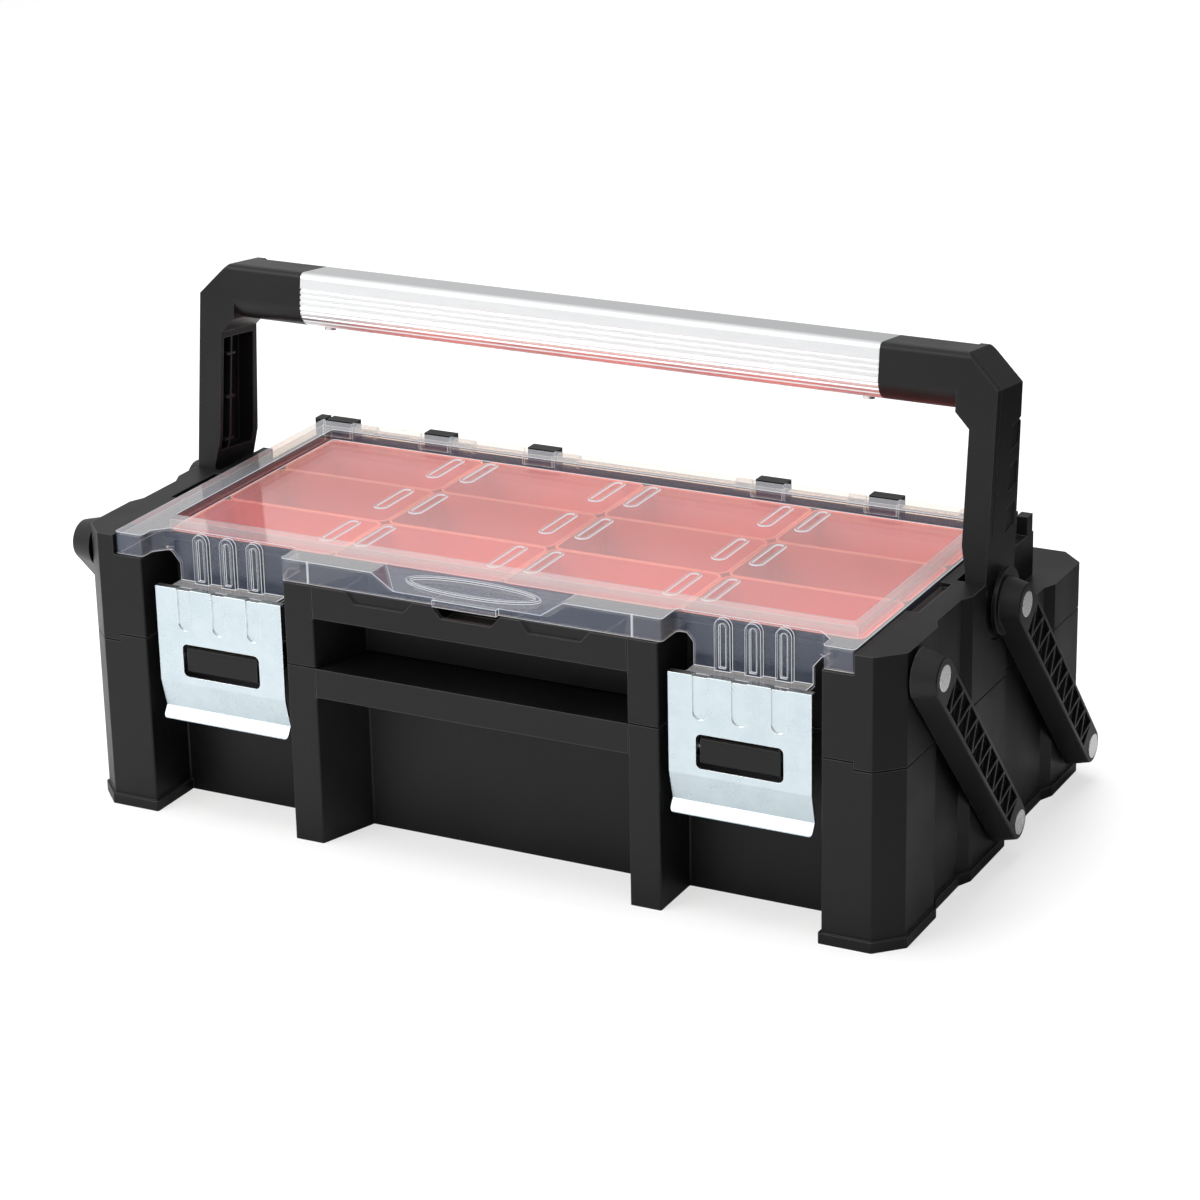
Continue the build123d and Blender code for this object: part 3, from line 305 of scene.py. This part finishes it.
flat_frost = put(tree, "ShaderNodeMapRange", Value=framing.outputs[0], To_Min=WINDOW_FROST,
                 To_Max=FRAME_FROST)
frost = put(tree, "ShaderNodeMapRange", Value=flatness.outputs["Result"], To_Min=WALL_FROST,
            To_Max=flat_frost.outputs["Result"])
print("lid window", 2 * WINDOW_HALF_X, "by", 2 * WINDOW_HALF_Y, "m")

# %% [markdown]
# A sheet this thin barely bends what lies behind it, so light goes straight through, tinted. A
# thin haze lies over it, its colour painted darker and bluer on the walls, a painted shade, and
# the surface mirrors the studio more the flatter we look. This plastic's own IOR is about 1.58,
# but the lid in the photograph mirrors less, so the value is lower. Cut edges and ribs glow
# white:
# a painted glow, white emission along the edge mask, in place of the light that runs inside the
# sheet. The far side of each wall counts for less than the near one.
# %% Clear moulded lid
LID_EDGE = 0.8 * MM
LID_IOR = 1.42
FLOW = 30 * MM
EDGE_GLOW_SHARE = 0.92
FAR_SIDE_LOST = 0.75
flow = put(tree, "ShaderNodeTexNoise", Vector=place, Scale=1 / FLOW, Detail=2.0)
rounded, rim = edges(tree, LID_EDGE, start=0.992, full=0.955)
ripple = put(tree, "ShaderNodeBump", Strength=0.2, Distance=0.05 * MM,
             Height=flow.outputs["Fac"], Normal=rounded)
gloss = put(tree, "ShaderNodeMapRange", Value=flow.outputs["Fac"], To_Min=0.04, To_Max=0.12)
through = put(tree, "ShaderNodeBsdfTransparent", Color=linear("fdf7f0"))
# Painted shade: the haze colour is darker and bluer on the walls than on the flats.
painted_wall_shade_haze = put(tree, "ShaderNodeMix", COLOURS, _0=flatness.outputs["Result"],
                _6=linear("a3b6dc"), _7=linear("dde2ea"))
haze = put(tree, "ShaderNodeBsdfDiffuse", Color=painted_wall_shade_haze.outputs[2],
           Normal=ripple.outputs["Normal"])
mirror = put(tree, "ShaderNodeBsdfGlossy", Roughness=gloss.outputs["Result"],
             Normal=ripple.outputs["Normal"])
# Painted glow: white emission along the lid's edges and ribs, though they are no lamp.
painted_edge_glow = put(tree, "ShaderNodeEmission", Color=linear("f2f6fb"), Strength=0.92)
edge_lit = put(tree, "ShaderNodeMixShader", _0=rim, _1=haze.outputs["BSDF"],
               _2=painted_edge_glow.outputs["Emission"])
haze_and_glow_share = put(tree, "ShaderNodeMapRange", Value=rim, To_Min=frost.outputs["Result"],
           To_Max=EDGE_GLOW_SHARE)
sheet = put(tree, "ShaderNodeMixShader", _0=haze_and_glow_share.outputs["Result"], _1=through.outputs["BSDF"],
            _2=edge_lit.outputs["Shader"])
sheen = put(tree, "ShaderNodeFresnel", IOR=LID_IOR, Normal=ripple.outputs["Normal"])
polished = put(tree, "ShaderNodeMixShader", _0=sheen.outputs["Fac"],
               _1=sheet.outputs["Shader"], _2=mirror.outputs["BSDF"])
inner_side = put(tree, "ShaderNodeNewGeometry").outputs["Backfacing"]
weak = put(tree, "ShaderNodeMath", {"operation": "MULTIPLY"}, _0=inner_side, _1=FAR_SIDE_LOST)
near = put(tree, "ShaderNodeMixShader", _0=weak.outputs[0], _1=polished.outputs["Shader"],
           _2=through.outputs["BSDF"])
shadow_ray = put(tree, "ShaderNodeLightPath").outputs["Is Shadow Ray"]
lit = put(tree, "ShaderNodeMixShader", _0=shadow_ray, _1=near.outputs["Shader"],
          _2=through.outputs["BSDF"])
tree.links.new(lit.outputs["Shader"], output.inputs["Surface"])
print(lid_plastic.name, "with", len(tree.nodes), "nodes")

# %% [markdown]
# The grip is an extruded aluminium tube with a satin anodised skin. Drawing it through the die
# leaves hair fine lines along its length, so the noise that drives the gloss is stretched along
# X. The lines are a tenth of a millimetre on the real tube and drawn four times as wide.
# %% Anodised aluminium
LINE_LENGTH = 60 * MM
LINE_WIDTH = 0.4 * MM
tube_metal, tree, output = fresh_material("satin_anodised_aluminium")
place = put(tree, "ShaderNodeTexCoord").outputs["Object"]
along = put(tree, "ShaderNodeMapping", Vector=place,
            Scale=(1 / LINE_LENGTH, 1 / LINE_WIDTH, 1 / LINE_WIDTH))
lines = put(tree, "ShaderNodeTexNoise", Vector=along.outputs["Vector"], Scale=1.0, Detail=2.0)
tint = put(tree, "ShaderNodeMix", COLOURS, _0=lines.outputs["Fac"], _6=linear("e0e2e4"),
           _7=linear("eeefef"))
rough = put(tree, "ShaderNodeMapRange", Value=lines.outputs["Fac"], To_Min=0.28, To_Max=0.40)
rounded, _ = edges(tree, 0.4 * MM)
relief = put(tree, "ShaderNodeBump", Strength=0.4, Distance=0.02 * MM,
             Height=lines.outputs["Fac"], Normal=rounded)
metal = put(tree, "ShaderNodeBsdfPrincipled", Base_Color=tint.outputs[2], Metallic=1.0,
            Roughness=rough.outputs["Result"], Normal=relief.outputs["Normal"])
tree.links.new(metal.outputs["BSDF"], output.inputs["Surface"])
print(tube_metal.name, "with", len(tree.nodes), "nodes")

# %% [markdown]
# The latches are pressed from zinc plated sheet steel. The plating is bright with a faint cloudy
# pattern, about a centimetre across, and a cool cast. The pins, rods and screws are the same
# steel, turned or drawn, so they share the function with a finer and paler pattern.
# %% Zinc plated steel


def plated_steel(name, dark, light, cloud, rough_low, rough_high):
    """Bright plated steel with a cloudy gloss and a painted white highlight along its edges."""
    made, tree, output = fresh_material(name)
    place = put(tree, "ShaderNodeTexCoord").outputs["Object"]
    clouds = put(tree, "ShaderNodeTexNoise", Vector=place, Scale=1 / cloud, Detail=4.0,
                 Roughness=0.6)
    spread = put(tree, "ShaderNodeMapRange", Value=clouds.outputs["Fac"], From_Min=0.3,
                 From_Max=0.7)
    body = put(tree, "ShaderNodeMix", COLOURS, _0=spread.outputs["Result"], _6=linear(dark),
               _7=linear(light))
    rounded, rim = edges(tree, 0.5 * MM)
    # Painted highlight: the edges take a white base colour, so they shine brighter.
    tint = put(tree, "ShaderNodeMix", COLOURS, _0=rim, _6=body.outputs[2], _7=linear("ffffff"))
    rough = put(tree, "ShaderNodeMapRange", Value=spread.outputs["Result"], To_Min=rough_low,
                To_Max=rough_high)
    relief = put(tree, "ShaderNodeBump", Strength=0.12, Distance=0.02 * MM,
                 Height=clouds.outputs["Fac"], Normal=rounded)
    steel = put(tree, "ShaderNodeBsdfPrincipled", Base_Color=tint.outputs[2], Metallic=1.0,
                Roughness=rough.outputs["Result"], Normal=relief.outputs["Normal"])
    tree.links.new(steel.outputs["BSDF"], output.inputs["Surface"])
    print(name, "with", len(tree.nodes), "nodes")
    return made


latch_zinc = plated_steel("zinc_plated_sheet_steel", "b9c5cb", "c4d0d5", 14 * MM, 0.24, 0.34)
pin_steel = plated_steel("turned_plated_steel", "e2e2e2", "f4f4f4", 3 * MM, 0.18, 0.30)

# %% [markdown]
# Each part takes its finish from the list of slots in its record, so the dressing follows the
# model by name.
# %% Dress the parts
finish_of = {
    "base_black": black_polypropylene,
    "tray_black": black_polypropylene,
    "bin_red": red_polypropylene,
    "lid_clear": lid_plastic,
    "tube_aluminium": tube_metal,
    "latch_steel": latch_zinc,
    "rivet_steel": pin_steel,
    "screw_steel": pin_steel,
    "arm_black": arm_nylon,
}
for entry in frame["record"]["subparts"]:
    mesh = parts[entry["node"]].data
    mesh.materials.clear()
    mesh.materials.append(finish_of[entry["material_slot"]])
